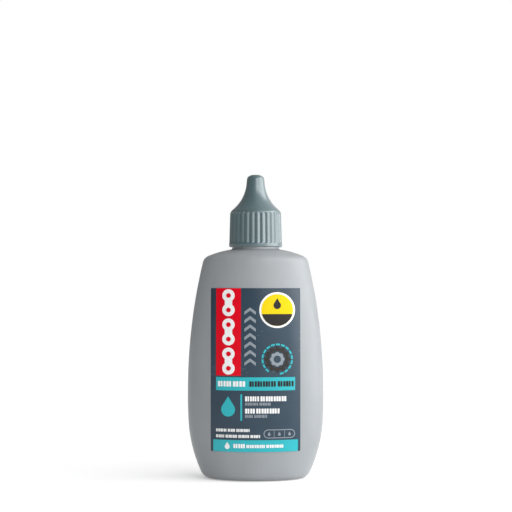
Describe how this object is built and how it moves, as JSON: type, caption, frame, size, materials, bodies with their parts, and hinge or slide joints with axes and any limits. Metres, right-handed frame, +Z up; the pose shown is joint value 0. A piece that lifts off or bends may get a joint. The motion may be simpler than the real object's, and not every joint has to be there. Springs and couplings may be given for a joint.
{
  "type": "chain lube bottle",
  "caption": "Flat oval squeeze bottle of chain lubricant with a dropper insert, a ribbed screw cap that ends in a tapered tip, and a printed front label.",
  "frame": {"origin": "centre of the base, on the surface that the bottle stands on", "axes": "+Z up along the neck, X along the width of the flat oval body, the label faces -Y"},
  "size_m": [0.0558, 0.0342, 0.1245],
  "materials": {
    "bottle_plastic": "satin blown polyethylene",
    "nozzle_plastic": "natural translucent polyethylene",
    "cap_plastic": "satin moulded polypropylene",
    "lubricant": "clear amber oil, seen only in section",
    "label_film": "printed film, satin varnish",
    "ink_red": "printed ink",
    "ink_white": "printed ink",
    "ink_teal": "printed ink",
    "ink_grey": "printed ink",
    "ink_yellow": "printed ink",
    "ink_charcoal": "printed ink"
  },
  "bodies": {
    "bottle": {"bottle": "bottle_plastic", "nozzle": "nozzle_plastic", "lubricant": "lubricant", "front_label": "label_film", "print_red": "ink_red", "print_white": "ink_white", "print_teal": "ink_teal", "print_grey": "ink_grey", "print_yellow": "ink_yellow", "print_charcoal": "ink_charcoal"},
    "cap": {"cap": "cap_plastic"}
  },
  "joints": [
    {"name": "cap_lift", "type": "slide", "parent": "bottle", "child": "cap", "axis": [0, 0, 1], "range_m": [0, 0.035]}
  ]
}
